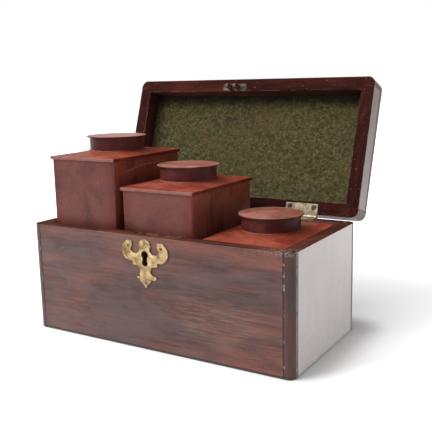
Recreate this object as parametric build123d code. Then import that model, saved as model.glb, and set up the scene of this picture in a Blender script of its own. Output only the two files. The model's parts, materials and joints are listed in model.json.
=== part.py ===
from build123d import *
import os

# A tea chest with three tin canisters, standing open. Millimetres throughout.
# X runs from left to right, Y from front to back and Z up. The origin is the middle of the
# underside, so the chest stands on Z = 0. The lid is drawn closed and then turned open.

# Outer sizes of the closed chest
chest_width = 254.0
chest_depth = 127.0
carcass_height = 96.0
lid_height = 24.0
rim_gap = 0.2
lid_open_angle = 109.0

# Woodwork
wall_thickness = 12.0
corner_strip_width = 8.5
corner_radius = 6.8
strip_quirk = 0.5
lid_arris_radius = 3.0
base_arris = 0.8
base_thickness = 6.0
base_rebate = 3.0
divider_thickness = 4.5
divider_drop = 7.0
divider_housing = 1.5
fit_clearance = 0.05
overcut = 1.0
lid_board_thickness = 6.8
baize_thickness = 0.8
baize_margin = 0.3

# Canisters
canister_side_clearance = 0.88
canister_end_clearance = 1.6
canister_corner_radius = 1.5
canister_rim_drop = 0.6
canister_seat_gap = 0.2
tin_thickness = 0.8
hem_projection = 1.6
hem_height = 3.0
hem_rounding = 0.9
hem_corner_radius = 1.2
shoulder_margin = 3.0
shoulder_corner_radius = 4.0
shoulder_rise = 2.4
left_canister_raise = 59.7
middle_canister_raise = 36.7
# How far each one stands off the middle of its compartment, as X and Y
left_canister_shift = (-0.55, 0.0)
middle_canister_shift = (-0.6, -1.3)
right_canister_shift = (-0.35, 0.0)

# Collar and slip-on cap of a canister
collar_foot_radius = 25.3
collar_foot_edge = 0.4
collar_shoulder_radius = 24.7
collar_shoulder_height = 0.9
neck_outer_radius = 23.2
neck_height = 10.2
cap_radius = 26.7
cap_slip_clearance = 0.3
cap_seat_gap = 0.2
cap_skirt_height = 11.0
cap_disc_thickness = 1.0
cap_edge_rounding = 0.2
cap_crown = 0.4
cap_crown_shoulder = 0.24
cap_crown_shoulder_radius = 21.4
cap_crown_flat_radius = 10.7

# Butt hinges
hinge_inset = 37.3
hinge_width = 31.2
leaf_depth = 9.8
leaf_thickness = 1.5
knuckle_radius = 2.1
knuckle_clearance = 0.2
knuckle_gap = 0.1
hinge_pin_radius = 1.1
pin_clearance = 0.05
pin_head_radius = 1.6
pin_head_thickness = 0.6
pin_head_rounding = 0.36
hinge_screw_spacing = 23.2
hinge_screw_inset = 6.4

# Countersunk slotted wood screws: head radius, head height, shank radius and length
hinge_screw = (2.4, 1.3, 1.2, 8.0)
keep_screw = (1.7, 1.0, 0.9, 7.0)
lock_screw = (1.4, 0.8, 0.7, 5.0)
screw_slot_width = 0.6
screw_slot_depth = 0.45
screw_tip_share = 0.4

# Lock, let into the inner face and the rim of the front panel
lock_centre_x = -3.2
lock_width = 57.0
lock_height = 31.0
lock_depth = 7.0
lock_plate_thickness = 1.0
selvage_thickness = 1.5
lock_box_width = 47.0
lock_box_height = 26.5
lock_screw_margin = 2.6
bolt_thickness = 2.0
bolt_bar_height = 2.2
bolt_bar_length = 33.0
bolt_running_gap = 0.4
prong_length = 3.4
prong_height = 2.0
prong_root = 1.6
talon_width = 2.0
talon_height = 7.4
talon_reach = 8.0
key_pin_radius = 0.9
spring_thickness = 0.5
spring_gap = 0.45
spring_talon_clearance = 0.5
spring_tail_drop = 1.0
spring_stud_inset = 4.0
spring_stud_drop = 6.0
spring_stud_radius = 0.8

# Keyhole, shared by the plate, the wood and the lock
keyhole_top_radius = 3.35
keyhole_foot_radius = 2.8
keyhole_waist = 4.7
keyhole_below_rim = 15.0
keyhole_drop = 6.6
keyhole_wood_clearance = 0.2

# Keep in the lid: a plate with two pierced lugs that the bolt's prongs enter
keep_centre_x = -13.8
keep_width = 25.4
keep_depth = 7.4
keep_thickness = 1.2
lug_spacing = 8.2
lug_thickness = 2.4
lug_depth = 4.2
lug_drop = 9.0
lug_rounding = 1.4
lug_window_height = 3.0
lug_window_depth = 2.8
lug_slot_clearance = 0.5
keep_screw_spacing = 19.4

# Fretted key plate on the front: heights are from its own zero, the rest from its middle. It
# has a pointed crest, two arms that end in curls, a waist and a tail with one barb worn short.
plate_thickness = 1.2
plate_below_rim = 17.7
plate_crest_radius = 5.4
plate_crest_z = 10.3
plate_cusp_reach = 6.6
plate_cusp_height = 3.7
plate_neck_width = 9.2
plate_body_reach = 12.1
plate_body_foot_z = -5.6
plate_slope_reach = 9.0
plate_slope_z = -7.1
plate_arm_radius = 8.3
plate_arm_x = 14.4
plate_arm_z = 5.2
plate_curl_radius = 3.6
plate_curl_x = 16.1
plate_curl_z = 10.1
plate_notch_radius = 4.8
plate_notch_x = 9.6
plate_notch_z = 8.0
plate_mouth_width = 6.2
plate_waist_radius = 4.0
plate_waist_x = 9.2
plate_waist_z = -10.4
plate_trunk_reach = 5.5
plate_barb_reach = 9.0
plate_barb_z = -15.8
plate_barb_radius = 1.8
plate_stub_reach = -7.5
plate_stub_z = -16.5
plate_stub_radius = 0.7
plate_tail_z = -19.3
plate_point_reach = 1.9
plate_point_z = -22.2
plate_tip_x = 0.4
plate_tip_z = -24.7
plate_nail_below_curl = 0.7
plate_tail_nail_x = 0.8
plate_tail_nail_z = -20.4
plate_nail_radius = 1.3
plate_nail_rise = 0.5
plate_nail_flat_radius = 0.8
plate_nail_shoulder = 0.42
plate_nail_gap = 0.02
plate_nail_shank_radius = 0.6
plate_nail_length = 5.0

# Values worked out from the sizes above
half_width = chest_width / 2
half_depth = chest_depth / 2
inner_half_width = half_width - wall_thickness
inner_half_depth = half_depth - wall_thickness
lid_rim_z = carcass_height + rim_gap
lid_top_z = lid_rim_z + lid_height
lid_board_z = lid_top_z - lid_board_thickness
hinge_spacing = chest_width - 2 * hinge_inset - hinge_width
hinge_y = half_depth + knuckle_radius + knuckle_clearance
hinge_z = carcass_height + rim_gap / 2
inner_width = 2 * inner_half_width
compartment_width = (inner_width - 2 * divider_thickness) / 3
canister_pitch = compartment_width + divider_thickness
canister_hem_width = compartment_width - 2 * canister_side_clearance
canister_hem_depth = 2 * (inner_half_depth - canister_end_clearance)
canister_body_width = canister_hem_width - 2 * hem_projection
canister_body_depth = canister_hem_depth - 2 * hem_projection
canister_floor_z = base_thickness + canister_seat_gap
canister_height = carcass_height - canister_rim_drop - canister_floor_z
collar_z = canister_height + shoulder_rise
lock_back_y = -inner_half_depth
lock_front_y = lock_back_y - lock_depth
lock_middle_y = (lock_back_y + lock_front_y) / 2
keyhole_centre_z = carcass_height - keyhole_below_rim
plate_centre_z = carcass_height - plate_below_rim
lug_foot_z = lid_rim_z - lug_drop
lug_window_z = lug_foot_z + (lug_drop - keep_thickness) / 2
bolt_bar_top = lug_foot_z - bolt_running_gap
bolt_bar_low = bolt_bar_top - bolt_bar_height


def block(low, high):
    """A box between two opposite corners."""
    size = [b - a for a, b in zip(low, high)]
    middle = [(a + b) / 2 for a, b in zip(low, high)]
    return Pos(*middle) * Box(*size)


def rod(start, end, radius):
    """A round bar from one point to another."""
    line = Vector(*end) - Vector(*start)
    plane = Plane(origin=start, z_dir=line)
    return extrude(plane * Circle(radius), line.length)


def turned(points):
    """A solid of revolution about Z, from points given as radius and height."""
    outline = Plane.XZ * make_face(Polyline(*points, close=True))
    return revolve(outline, Axis.Z)


def screw(form):
    """A countersunk slotted screw, with its head's face at the origin and its point below."""
    head_radius, head_height, shank_radius, length = form
    tip = shank_radius * screw_tip_share
    body = turned([
        (0, 0),
        (head_radius, 0),
        (shank_radius, -head_height),
        (shank_radius, -length + shank_radius),
        (tip, -length),
        (0, -length),
    ])
    slot = Box(2 * head_radius + overcut, screw_slot_width, 2 * screw_slot_depth)
    return body - slot


def screw_hole(form):
    """The hole that a screw sits in, a little wider than the screw all round."""
    head_radius, head_height, shank_radius, length = form
    head = head_radius + fit_clearance
    shank = shank_radius + fit_clearance
    deep = length + fit_clearance
    return turned([
        (0, overcut),
        (head, overcut),
        (head, 0),
        (shank, -head_height),
        (shank, -deep),
        (0, -deep),
    ])


# Casework: what the carcass and the lid's frame have in common
def corner_square(side_x, side_y, low_z, high_z):
    """The square at one vertical corner that the corner strip fills."""
    outer = (side_x * half_width, side_y * half_depth)
    inner = (
        side_x * (half_width - corner_strip_width),
        side_y * (half_depth - corner_strip_width),
    )
    low = (min(outer[0], inner[0]), min(outer[1], inner[1]), low_z)
    high = (max(outer[0], inner[0]), max(outer[1], inner[1]), high_z)
    return block(low, high)


def corner_strip(side_x, side_y, low_z, high_z):
    """A corner strip, with a small quirk along the two edges that meet the panels."""
    strip = corner_square(side_x, side_y, low_z, high_z)
    uprights = strip.edges().filter_by(Axis.Z)
    across = uprights.sort_by(lambda edge: side_x * edge.center().X - side_y * edge.center().Y)
    return chamfer([across[0], across[-1]], strip_quirk)


def long_wall(side_y, low_z, high_z):
    """The front or back board, which runs between the corner strips."""
    reach = half_width - corner_strip_width
    edges = sorted([side_y * half_depth, side_y * inner_half_depth])
    return block((-reach, edges[0], low_z), (reach, edges[1], high_z))


def short_wall(side_x, low_z, high_z):
    """The left or right board, rebated at both ends over the long boards."""
    edges = sorted([side_x * half_width, side_x * inner_half_width])
    reach = half_depth - corner_strip_width
    board = block((edges[0], -reach, low_z), (edges[1], reach, high_z))
    return board - long_wall(-1, low_z, high_z) - long_wall(1, low_z, high_z)


def rounded_block(low_z, high_z):
    """The outside form of the chest between two heights, with rounded vertical corners."""
    outline = RectangleRounded(chest_width, chest_depth, corner_radius)
    return extrude(Plane.XY.offset(low_z) * outline, high_z - low_z)


def carcass_form():
    """The outside form of the carcass, with its bottom arris eased."""
    form = rounded_block(0, carcass_height)
    return chamfer(form.faces().sort_by(Axis.Z)[0].edges(), base_arris)


def lid_form():
    """The outside form of the lid, with its top arris rounded."""
    form = rounded_block(lid_rim_z, lid_top_z)
    return fillet(form.faces().sort_by(Axis.Z)[-1].edges(), lid_arris_radius)


# Fittings: each is drawn where it sits on the closed chest
def hinge_middles():
    """The X of the left and right hinge."""
    return {"left": -hinge_spacing / 2, "right": hinge_spacing / 2}


def leaf_plate(middle_x, low_z):
    """The flat of a hinge leaf, flush with the back of the wood."""
    half = hinge_width / 2
    low = (middle_x - half, half_depth - leaf_depth, low_z)
    return block(low, (middle_x + half, half_depth, low_z + leaf_thickness))


def knuckle(middle_x, low_z, start, end):
    """One knuckle between two distances from the hinge's middle, with the web that joins it."""
    web = block(
        (middle_x + start, half_depth, low_z),
        (middle_x + end, hinge_y, low_z + leaf_thickness),
    )
    barrel = rod(
        (middle_x + start, hinge_y, hinge_z),
        (middle_x + end, hinge_y, hinge_z),
        knuckle_radius,
    )
    return web + barrel


def hinge_screw_places(middle_x):
    """Where a leaf's screws stand, as X and Y."""
    y = half_depth - hinge_screw_inset
    return [(middle_x + side * hinge_screw_spacing / 2, y) for side in (-1, 1)]


def pin_bore(middle_x):
    """The hole through all the knuckles of a hinge."""
    reach = hinge_width
    return rod(
        (middle_x - reach, hinge_y, hinge_z),
        (middle_x + reach, hinge_y, hinge_z),
        hinge_pin_radius + pin_clearance,
    )


def carcass_leaf(middle_x):
    """The lower leaf, with the two outer knuckles."""
    low_z = carcass_height - leaf_thickness
    half = hinge_width / 2
    third = hinge_width / 6
    leaf = leaf_plate(middle_x, low_z)
    leaf += knuckle(middle_x, low_z, -half, -third - knuckle_gap)
    leaf += knuckle(middle_x, low_z, third + knuckle_gap, half)
    leaf -= pin_bore(middle_x)
    for x, y in hinge_screw_places(middle_x):
        leaf -= Pos(x, y, carcass_height) * screw_hole(hinge_screw)
    return leaf


def lid_leaf(middle_x):
    """The upper leaf, with the middle knuckle."""
    third = hinge_width / 6
    leaf = leaf_plate(middle_x, lid_rim_z)
    leaf += knuckle(middle_x, lid_rim_z, -third, third)
    leaf -= pin_bore(middle_x)
    for x, y in hinge_screw_places(middle_x):
        leaf -= Pos(x, y, lid_rim_z) * Rot(X=180) * screw_hole(hinge_screw)
    return leaf


def hinge_pin(middle_x):
    """The pin, headed over at both ends."""
    reach = hinge_width / 2 + fit_clearance
    pin = rod(
        (middle_x - reach, hinge_y, hinge_z),
        (middle_x + reach, hinge_y, hinge_z),
        hinge_pin_radius,
    )
    for side in (-1, 1):
        start = (middle_x + side * reach, hinge_y, hinge_z)
        end = (middle_x + side * (reach + pin_head_thickness), hinge_y, hinge_z)
        head = rod(start, end, pin_head_radius)
        rim = head.edges().filter_by(GeomType.CIRCLE).sort_by(Axis.X)[-1 if side > 0 else 0]
        pin += fillet(rim, pin_head_rounding)
    return pin


def keyhole_outline(extra=0.0):
    """A keyhole with its round end up, about the middle of that end."""
    foot = Pos(0, -keyhole_drop) * Circle(keyhole_foot_radius + extra)
    waist = Pos(0, -keyhole_drop / 2) * Rectangle(keyhole_waist + 2 * extra, keyhole_drop)
    return Circle(keyhole_top_radius + extra) + foot + waist


def through_front(outline, z, front_y, back_y):
    """A shape on the front of the chest, carried back from one Y to another."""
    plane = Plane(origin=(lock_centre_x, back_y, z), x_dir=(1, 0, 0), z_dir=(0, -1, 0))
    return extrude(plane * outline, back_y - front_y)


def lug_places():
    """The X of each lug of the keep."""
    return [keep_centre_x + side * lug_spacing / 2 for side in (-1, 1)]


def lock_box(extra):
    """The box part of the lock, grown by a clearance on the sides that enter the wood."""
    half = lock_box_width / 2 + extra
    return block(
        (lock_centre_x - half, lock_front_y - extra, carcass_height - lock_box_height - extra),
        (lock_centre_x + half, lock_back_y, carcass_height),
    )


def lock_flanges(extra):
    """The back plate and the selvage on the rim, which lie flush with the wood."""
    half = lock_width / 2 + extra
    back_plate = block(
        (lock_centre_x - half, lock_back_y - lock_plate_thickness,
         carcass_height - lock_height - extra),
        (lock_centre_x + half, lock_back_y, carcass_height),
    )
    selvage = block(
        (lock_centre_x - half, lock_front_y - extra, carcass_height - selvage_thickness),
        (lock_centre_x + half, lock_back_y, carcass_height),
    )
    return back_plate + selvage


def lock_screw_places():
    """Where the back plate's screws stand, as X and Z."""
    reach = lock_width / 2 - lock_screw_margin
    top = carcass_height - selvage_thickness - 2 * lock_screw_margin
    foot = carcass_height - lock_height + lock_screw_margin
    return [(lock_centre_x + side * reach, z) for side in (-1, 1) for z in (foot, top)]


def lock_case():
    """The folded lock case: back plate, selvage, walls and a front plate with the keyhole."""
    wall = lock_plate_thickness
    half = lock_box_width / 2 - wall
    hollow = block(
        (lock_centre_x - half, lock_front_y + wall, carcass_height - lock_box_height + wall),
        (lock_centre_x + half, lock_back_y - wall, carcass_height - selvage_thickness),
    )
    case = lock_box(0) + lock_flanges(0) - hollow
    for x in lug_places():
        reach = (lug_thickness / 2 + lug_slot_clearance, lug_depth / 2 + lug_slot_clearance / 2)
        case -= block(
            (x - reach[0], lock_middle_y - reach[1], carcass_height - 2 * selvage_thickness),
            (x + reach[0], lock_middle_y + reach[1], carcass_height + overcut),
        )
    case -= through_front(
        keyhole_outline(), keyhole_centre_z, lock_front_y - overcut, lock_front_y + 2 * wall
    )
    for x, z in lock_screw_places():
        case -= Pos(x, lock_back_y, z) * Rot(X=-90) * screw_hole(lock_screw)
    return case


def lock_bolt():
    """The bolt: a bar with two hooked prongs above it and two talons for the key below."""
    prong_low = lug_window_z - prong_height / 2
    prong_high = lug_window_z + prong_height / 2
    low_y = lock_middle_y - bolt_thickness / 2
    high_y = lock_middle_y + bolt_thickness / 2
    left = lug_places()[0]
    bolt = block((left, low_y, bolt_bar_low), (left + bolt_bar_length, high_y, bolt_bar_top))
    for x in lug_places():
        tip = x + lug_thickness / 2 + bolt_running_gap
        root = tip + prong_length
        bolt += block((tip, low_y, prong_low), (root + prong_root, high_y, prong_high))
        bolt += block((root, low_y, bolt_bar_top), (root + prong_root, high_y, prong_low))
    for side in (-1, 1):
        middle = lock_centre_x + side * (talon_reach + talon_width / 2)
        bolt += block(
            (middle - talon_width / 2, low_y, bolt_bar_low - talon_height),
            (middle + talon_width / 2, high_y, bolt_bar_low),
        )
    return bolt


def lock_spring():
    """A bowed strip spring on a stud, which bears up on the tail of the bolt."""
    stud_x = lock_centre_x + lock_box_width / 2 - spring_stud_inset
    tail_x = lock_centre_x + talon_reach + talon_width + spring_talon_clearance
    crest = ((tail_x + stud_x) / 2, bolt_bar_low - spring_gap)
    tail = (tail_x, crest[1] - spring_tail_drop)
    stud_z = crest[1] - spring_stud_drop
    front_y = lock_middle_y - bolt_thickness / 2
    back_y = lock_middle_y + bolt_thickness / 2
    bow = trace(ThreePointArc(tail, crest, (stud_x, stud_z)), spring_thickness)
    plane = Plane(origin=(0, back_y, 0), x_dir=(1, 0, 0), z_dir=(0, -1, 0))
    strip = Pos(0, 0, -spring_thickness / 2) * extrude(plane * bow, bolt_thickness)
    stud = rod(
        (stud_x, lock_back_y - lock_plate_thickness, stud_z),
        (stud_x, front_y, stud_z),
        spring_stud_radius,
    )
    return strip + stud


def key_pin():
    """The pin that a piped key turns on, standing from the back plate."""
    return rod(
        (lock_centre_x, lock_back_y - lock_plate_thickness, keyhole_centre_z),
        (lock_centre_x, lock_front_y, keyhole_centre_z),
        key_pin_radius,
    )


def keep_plate():
    """The keep: a plate let into the lid's rim, with two lugs that drop into the lock."""
    low_y = lock_back_y - keep_depth
    half = keep_width / 2
    keep = block(
        (keep_centre_x - half, low_y, lid_rim_z),
        (keep_centre_x + half, lock_back_y, lid_rim_z + keep_thickness),
    )
    for x in lug_places():
        lug = block(
            (x - lug_thickness / 2, lock_middle_y - lug_depth / 2, lug_foot_z),
            (x + lug_thickness / 2, lock_middle_y + lug_depth / 2, lid_rim_z),
        )
        ends = lug.edges().filter_by(Axis.X).sort_by(Axis.Z)[:2]
        lug = fillet(ends, lug_rounding)
        window = Box(2 * lug_thickness, lug_window_depth, lug_window_height)
        keep += lug - Pos(x, lock_middle_y, lug_window_z) * window
    for x in keep_screw_places():
        keep -= Pos(x, lock_middle_y, lid_rim_z) * Rot(X=180) * screw_hole(keep_screw)
    return keep


def keep_screw_places():
    """The X of each screw of the keep."""
    return [keep_centre_x + side * keep_screw_spacing / 2 for side in (-1, 1)]


def plate_body():
    """The plate's middle: a square body that slopes in to the waist."""
    body_height = plate_notch_z - plate_body_foot_z
    body_middle = (plate_notch_z + plate_body_foot_z) / 2
    slope = Polygon(
        (plate_trunk_reach, plate_waist_z),
        (plate_slope_reach, plate_slope_z),
        (plate_body_reach, plate_body_foot_z),
        (-plate_body_reach, plate_body_foot_z),
        (-plate_slope_reach, plate_slope_z),
        (-plate_trunk_reach, plate_waist_z),
        align=None,
    )
    return slope + Pos(0, body_middle) * Rectangle(2 * plate_body_reach, body_height)


def plate_tail():
    """The plate's tail: a trunk that runs to a point, a full barb and a worn one."""
    trunk = Polygon(
        (plate_tip_x, plate_tip_z),
        (plate_point_reach, plate_point_z),
        (plate_trunk_reach, plate_tail_z),
        (plate_trunk_reach, plate_waist_z),
        (-plate_trunk_reach, plate_waist_z),
        (-plate_trunk_reach, plate_tail_z),
        (-plate_point_reach, plate_point_z),
        align=None,
    )
    barb_low = plate_barb_z - plate_barb_radius
    barb_middle = (plate_barb_reach / 2, (plate_waist_z + barb_low) / 2)
    barb = Pos(*barb_middle) * Rectangle(plate_barb_reach, plate_waist_z - barb_low)
    barb += Pos(plate_barb_reach, plate_barb_z) * Circle(plate_barb_radius)
    stub = Pos(plate_stub_reach / 2, plate_stub_z) * Rectangle(
        -plate_stub_reach, 2 * plate_stub_radius
    )
    stub += Pos(plate_stub_reach, plate_stub_z) * Circle(plate_stub_radius)
    return trunk + barb + stub


def plate_crest():
    """The plate's head: a neck and a round crest with a small cusp at each side."""
    neck = Pos(0, plate_crest_z / 2) * Rectangle(plate_neck_width, plate_crest_z)
    cusps = Polygon(
        (-plate_cusp_reach, plate_crest_z),
        (0, plate_crest_z - plate_cusp_height),
        (plate_cusp_reach, plate_crest_z),
        (0, plate_crest_z + plate_cusp_height),
        align=None,
    )
    return neck + cusps + Pos(0, plate_crest_z) * Circle(plate_crest_radius)


def plate_outline():
    """The fretted outline of the key plate: crest, two curled arms, waist and barbed tail."""
    shape = plate_body() + plate_tail()
    mouth_z = plate_notch_z + plate_notch_radius
    mouth = Rectangle(plate_mouth_width, plate_notch_radius)
    for side in (-1, 1):
        shape += Pos(side * plate_arm_x, plate_arm_z) * Circle(plate_arm_radius)
    for side in (-1, 1):
        shape -= Pos(side * plate_notch_x, plate_notch_z) * Circle(plate_notch_radius)
        shape -= Pos(side * plate_notch_x, mouth_z) * mouth
        shape -= Pos(side * plate_waist_x, plate_waist_z) * Circle(plate_waist_radius)
    for side in (-1, 1):
        shape += Pos(side * plate_curl_x, plate_curl_z) * Circle(plate_curl_radius)
    return shape + plate_crest()


def plate_nail_places():
    """Where the key plate's nails stand, from the middle of the plate."""
    arm_z = plate_curl_z - plate_nail_below_curl
    arms = [(side * plate_curl_x, arm_z) for side in (-1, 1)]
    return arms + [(plate_tail_nail_x, plate_tail_nail_z)]


def key_plate():
    """The fretted brass key plate on the front."""
    front_y = -half_depth - plate_thickness
    plate = through_front(plate_outline(), plate_centre_z, front_y, -half_depth)
    plate -= through_front(
        keyhole_outline(), keyhole_centre_z, front_y - overcut, -half_depth + overcut
    )
    for x, z in plate_nail_places():
        plate -= rod(
            (lock_centre_x + x, front_y - overcut, plate_centre_z + z),
            (lock_centre_x + x, -half_depth + overcut, plate_centre_z + z),
            plate_nail_shank_radius + fit_clearance,
        )
    return plate


def plate_nails():
    """Three round-headed nails that hold the key plate."""
    nails = []
    face_y = -half_depth - plate_thickness - plate_nail_gap
    for x, z in plate_nail_places():
        nail = turned([
            (0, plate_nail_rise),
            (plate_nail_flat_radius, plate_nail_shoulder),
            (plate_nail_radius, 0),
            (plate_nail_shank_radius, 0),
            (plate_nail_shank_radius, -plate_nail_length),
            (0, -plate_nail_length - plate_nail_shank_radius),
        ])
        nails.append(Pos(lock_centre_x + x, face_y, plate_centre_z + z) * Rot(X=90) * nail)
    return nails


# Carcass
def housing(middle_x, extra):
    """The space of one divider, from the base to its top."""
    half = divider_thickness / 2 + extra
    reach = inner_half_depth + divider_housing + extra
    return block(
        (middle_x - half, -reach, base_thickness),
        (middle_x + half, reach, carcass_height - divider_drop + extra),
    )


def divider_middles():
    """The X of the two dividers."""
    return {"left": -canister_pitch / 2, "right": canister_pitch / 2}


def base_board(extra=0.0):
    """The base, let into a rebate round the foot of the walls."""
    reach_x = inner_half_width + base_rebate + extra
    reach_y = inner_half_depth + base_rebate + extra
    return block((-reach_x, -reach_y, 0), (reach_x, reach_y, base_thickness))


def carcass_parts():
    """The wooden pieces of the carcass by name."""
    form = carcass_form()
    foot = base_board()
    front = long_wall(-1, 0, carcass_height) & form
    back = long_wall(1, 0, carcass_height) & form
    for middle_x in divider_middles().values():
        front -= housing(middle_x, fit_clearance)
        back -= housing(middle_x, fit_clearance)
    front -= lock_box(fit_clearance) + lock_flanges(fit_clearance)
    front -= through_front(
        keyhole_outline(keyhole_wood_clearance),
        keyhole_centre_z,
        -half_depth - overcut,
        lock_back_y,
    )
    for x, z in lock_screw_places():
        front -= Pos(x, lock_back_y, z) * Rot(X=-90) * screw_hole(lock_screw)
    for x, z in plate_nail_places():
        front -= rod(
            (lock_centre_x + x, -half_depth - overcut, plate_centre_z + z),
            (lock_centre_x + x, -half_depth + plate_nail_length, plate_centre_z + z),
            plate_nail_shank_radius + fit_clearance,
        )
    for middle_x in hinge_middles().values():
        back -= leaf_plate(middle_x, carcass_height - leaf_thickness)
        for x, y in hinge_screw_places(middle_x):
            back -= Pos(x, y, carcass_height) * screw_hole(hinge_screw)
    parts = {
        "front_panel": front - foot,
        "back_panel": back - foot,
        "left_side": (short_wall(-1, 0, carcass_height) & form) - foot,
        "right_side": (short_wall(1, 0, carcass_height) & form) - foot,
        "base_board": foot,
    }
    for side, middle_x in divider_middles().items():
        parts[side + "_divider"] = housing(middle_x, 0)
    for name, side_x, side_y in corners():
        parts["carcass_strip_" + name] = corner_strip(side_x, side_y, 0, carcass_height) & form
    return parts


def corners():
    """The four vertical corners: a name and the signs of X and Y."""
    return [
        ("front_left", -1, -1),
        ("front_right", 1, -1),
        ("back_left", -1, 1),
        ("back_right", 1, 1),
    ]


# Lid, drawn closed
def lid_parts():
    """The wooden pieces and the lining of the lid by name."""
    form = lid_form()
    front = long_wall(-1, lid_rim_z, lid_board_z) & form
    back = long_wall(1, lid_rim_z, lid_board_z) & form
    front -= block(
        (keep_centre_x - keep_width / 2, lock_back_y - keep_depth, lid_rim_z),
        (keep_centre_x + keep_width / 2, lock_back_y, lid_rim_z + keep_thickness),
    )
    for x in keep_screw_places():
        front -= Pos(x, lock_middle_y, lid_rim_z) * Rot(X=180) * screw_hole(keep_screw)
    for middle_x in hinge_middles().values():
        back -= leaf_plate(middle_x, lid_rim_z)
        for x, y in hinge_screw_places(middle_x):
            back -= Pos(x, y, lid_rim_z) * Rot(X=180) * screw_hole(hinge_screw)
    board = block((-half_width, -half_depth, lid_board_z), (half_width, half_depth, lid_top_z))
    parts = {
        "lid_front_rail": front,
        "lid_back_rail": back,
        "lid_left_rail": short_wall(-1, lid_rim_z, lid_board_z) & form,
        "lid_right_rail": short_wall(1, lid_rim_z, lid_board_z) & form,
    }
    for name, side_x, side_y in corners():
        parts["lid_strip_" + name] = corner_strip(side_x, side_y, lid_rim_z, lid_top_z) & form
        board -= corner_square(side_x, side_y, lid_board_z, lid_top_z)
    parts["lid_board"] = board & form
    reach_x = inner_half_width - baize_margin
    reach_y = inner_half_depth - baize_margin
    parts["lid_lining"] = block(
        (-reach_x, -reach_y, lid_board_z - baize_thickness), (reach_x, reach_y, lid_board_z)
    )
    return parts


# Canisters: drawn about their own middle, standing on Z = 0
def tin_sleeve(width, depth, low_z, high_z, wall, radius):
    """A rectangular tube of sheet tin with rounded vertical corners."""
    outside = RectangleRounded(width, depth, radius)
    inside = RectangleRounded(width - 2 * wall, depth - 2 * wall, max(radius - wall, 0.3))
    return extrude(Plane.XY.offset(low_z) * (outside - inside), high_z - low_z)


def end_plate():
    """A canister's end plate, face down on Z = 0, with a rolled hem that grips the sleeve."""
    outline = RectangleRounded(canister_hem_width, canister_hem_depth, hem_corner_radius)
    plate = extrude(outline, hem_height)
    rims = plate.edges().group_by(Axis.Z)
    plate = fillet(rims[0] + rims[-1], hem_rounding)
    pocket = RectangleRounded(
        canister_body_width + 2 * fit_clearance,
        canister_body_depth + 2 * fit_clearance,
        canister_corner_radius,
    )
    return plate - extrude(Plane.XY.offset(tin_thickness) * pocket, hem_height)


def raised_shoulder():
    """The low rise of a canister's top, from a rectangle inside its hem to the round collar."""
    foot = RectangleRounded(
        canister_hem_width - 2 * shoulder_margin,
        canister_hem_depth - 2 * shoulder_margin,
        shoulder_corner_radius,
    )
    crown = Circle(collar_foot_radius)
    return loft([Plane.XY.offset(canister_height) * foot, Plane.XY.offset(collar_z) * crown])


def canister_parts():
    """The sheet-tin pieces of one canister by name, without its cap."""
    neck_inner = neck_outer_radius - tin_thickness
    body = tin_sleeve(
        canister_body_width,
        canister_body_depth,
        tin_thickness,
        canister_height - tin_thickness,
        tin_thickness,
        canister_corner_radius,
    )
    top = Pos(0, 0, canister_height) * Rot(X=180) * end_plate()
    shoulder = raised_shoulder()
    top = top + shoulder - Pos(0, 0, -tin_thickness) * shoulder
    top -= Pos(0, 0, canister_height) * Cylinder(neck_inner, 2 * collar_foot_radius)
    collar = turned([
        (neck_inner, 0),
        (collar_foot_radius, 0),
        (collar_foot_radius, collar_foot_edge),
        (collar_shoulder_radius, collar_shoulder_height),
        (neck_outer_radius, collar_shoulder_height),
        (neck_outer_radius, neck_height),
        (neck_inner, neck_height),
    ])
    return {
        "body": body,
        "base": end_plate(),
        "top": top,
        "collar": Pos(0, 0, collar_z) * collar,
    }


def cap():
    """The slip-on cap: an overhanging disc with a slight crown, over a plain skirt."""
    skirt_inner = neck_outer_radius + cap_slip_clearance
    skirt_outer = skirt_inner + tin_thickness
    low = collar_z + collar_shoulder_height + cap_seat_gap
    disc_low = low + cap_skirt_height
    disc_high = disc_low + cap_disc_thickness
    return turned([
        (0, disc_low),
        (skirt_inner, disc_low),
        (skirt_inner, low),
        (skirt_outer, low),
        (skirt_outer, disc_low),
        (cap_radius, disc_low),
        (cap_radius + cap_edge_rounding, disc_low + cap_disc_thickness / 2),
        (cap_radius, disc_high),
        (cap_crown_shoulder_radius, disc_high + cap_crown_shoulder),
        (cap_crown_flat_radius, disc_high + cap_crown),
        (0, disc_high + cap_crown),
    ])


def canister_places():
    """Where each canister stands: the X and Y of its middle, and how far it is raised."""
    return {
        "left": (
            -canister_pitch + left_canister_shift[0],
            left_canister_shift[1],
            left_canister_raise,
        ),
        "middle": (*middle_canister_shift, middle_canister_raise),
        "right": (canister_pitch + right_canister_shift[0], right_canister_shift[1], 0),
    }


def opened(piece):
    """A piece of the closed lid, turned open about the hinge pins."""
    hinge = Pos(0, hinge_y, hinge_z)
    return hinge * Rot(X=-lid_open_angle) * hinge.inverse() * piece


def save(name, solids):
    """Write one node, whose solids are separate pieces."""
    pieces = [solid for item in solids for solid in item.solids()]
    shape = pieces[0] if len(pieces) == 1 else Compound(children=pieces)
    shape.label = name
    export_step(shape, os.path.join("parts", name + ".step"))


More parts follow.
